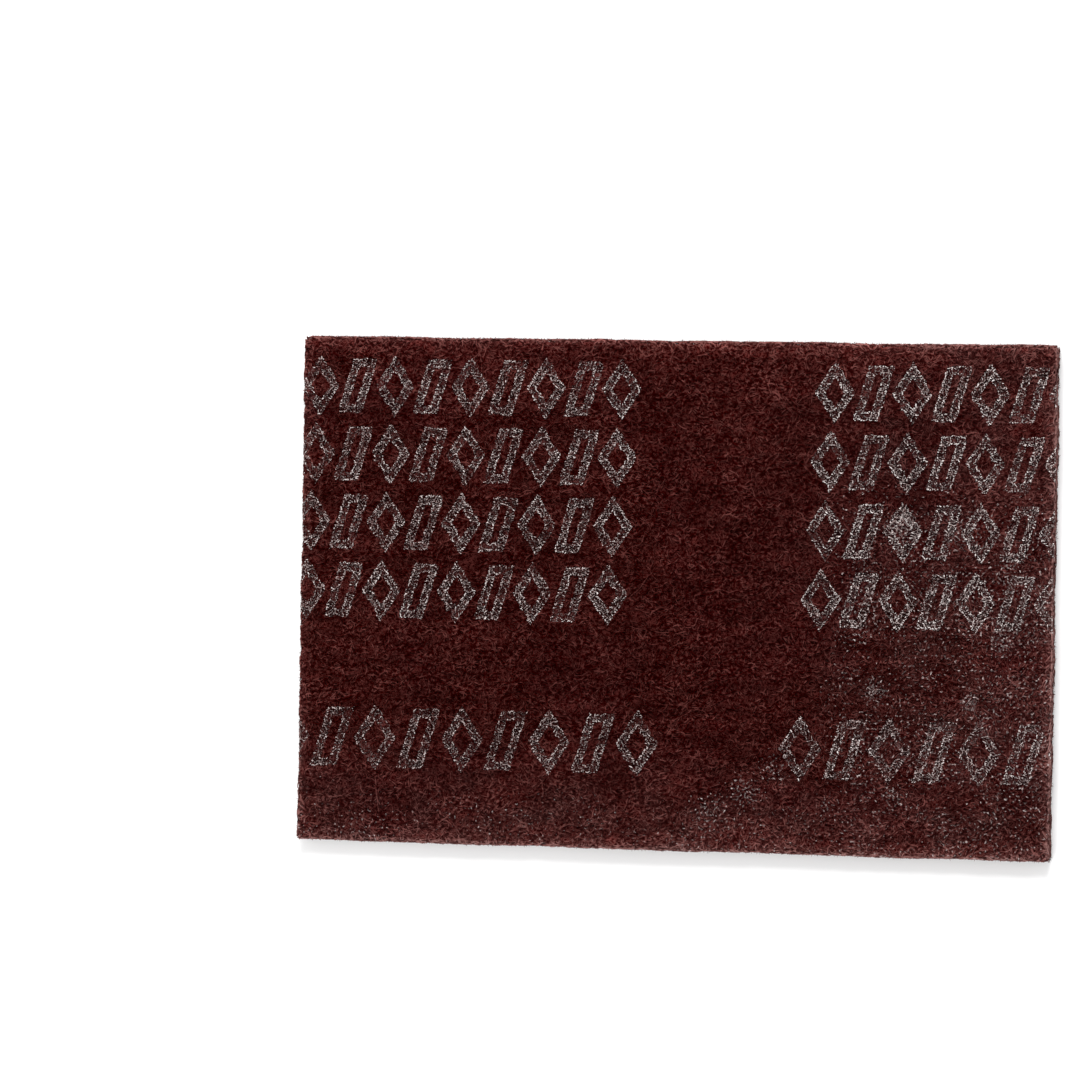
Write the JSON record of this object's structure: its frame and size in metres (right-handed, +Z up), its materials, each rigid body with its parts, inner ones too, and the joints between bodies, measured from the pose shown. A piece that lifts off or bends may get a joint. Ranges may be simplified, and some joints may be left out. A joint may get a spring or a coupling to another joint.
{
  "type": "non-woven hand pad",
  "caption": "Flat rectangular hand pad of tangled maroon nylon fibre bonded with resin, with square cut edges and worn silver print on its front face.",
  "frame": {"origin": "centre of the back face, on the surface that the pad lies on", "axes": "+X along the pad's length, +Y across its width, +Z up through its thickness and out of the printed front face"},
  "size_m": [0.2286, 0.1524, 0.0075],
  "materials": {
    "fibre_web": "dull, open fibre"
  },
  "bodies": {
    "root": {"hand_pad": "fibre_web"}
  },
  "joints": []
}
